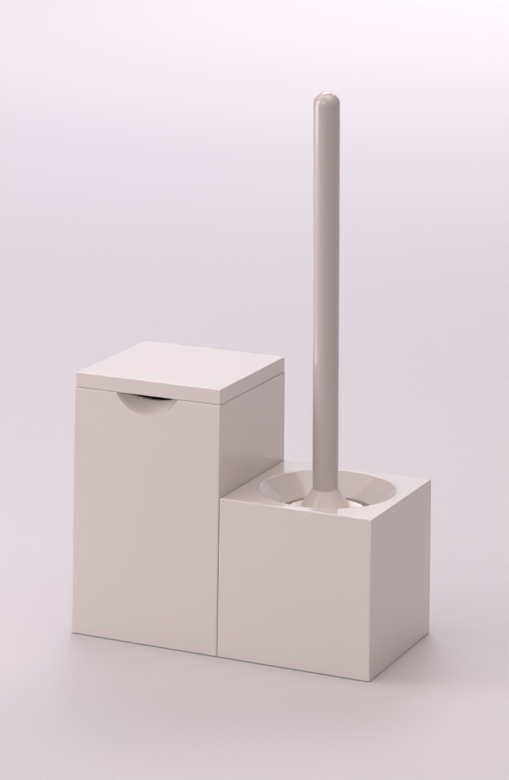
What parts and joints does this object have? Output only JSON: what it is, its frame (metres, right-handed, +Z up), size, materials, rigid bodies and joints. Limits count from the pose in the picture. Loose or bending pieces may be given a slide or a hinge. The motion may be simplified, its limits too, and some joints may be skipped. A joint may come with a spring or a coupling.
{
  "type": "toilet brush holder",
  "caption": "Square bathroom set in glossy off-white plastic: a lidded waste bin joined to a cubic holder whose funnel carries a long-handled toilet brush.",
  "frame": {"origin": "on the floor, in the middle of the rectangle that the two boxes cover, at the feet's underside", "axes": "+Z up, +X from the bin to the brush holder, +Y to the back, where the lid's hinge is"},
  "size_m": [0.24, 0.12, 0.4099],
  "materials": {
    "shell_plastic": "warm off-white moulded plastic, high gloss",
    "cup_plastic": "warm off-white moulded plastic, gloss",
    "handle_plastic": "warm off-white moulded plastic, gloss, slightly greyer",
    "liner_plastic": "off-white moulded plastic, fine satin",
    "bucket_plastic": "white moulded plastic, fine satin",
    "foot_rubber": "soft grey elastomer, matt",
    "rod_steel": "drawn stainless steel",
    "screw_steel": "zinc-plated steel",
    "bristle_nylon": "white nylon bristles"
  },
  "bodies": {
    "boxes": {"bin_shell": "shell_plastic", "bin_base": "liner_plastic", "bin_base_screws": "screw_steel", "bin_feet": "foot_rubber", "inner_bucket": "bucket_plastic", "hinge_pin_left": "screw_steel", "hinge_pin_right": "screw_steel", "holder_shell": "shell_plastic", "holder_base": "liner_plastic", "holder_base_screws": "screw_steel", "holder_feet": "foot_rubber", "joining_rivets": "liner_plastic"},
    "lid": {"lid_cover": "shell_plastic", "lid_liner": "liner_plastic"},
    "cup": {"drip_cup": "cup_plastic"},
    "brush": {"brush_handle": "handle_plastic", "handle_plug": "liner_plastic", "splash_cone": "handle_plastic", "cover_disc": "cup_plastic", "stem_rod": "rod_steel", "head_core": "liner_plastic", "side_bristles": "bristle_nylon", "tip_bristles": "bristle_nylon"}
  },
  "joints": [
    {"name": "lid_hinge", "type": "hinge", "parent": "boxes", "child": "lid", "pos_m": [-0.05889, 0.05444, 0.17865], "axis": [-1, 0, 0], "range_deg": [0, 100]},
    {"name": "cup_lift", "type": "slide", "parent": "boxes", "child": "cup", "axis": [0, 0, 1], "range_m": [0, 0.125]},
    {"name": "brush_lift", "type": "slide", "parent": "cup", "child": "brush", "axis": [-0.0166, 0, 0.9999], "range_m": [0, 0.15]}
  ]
}
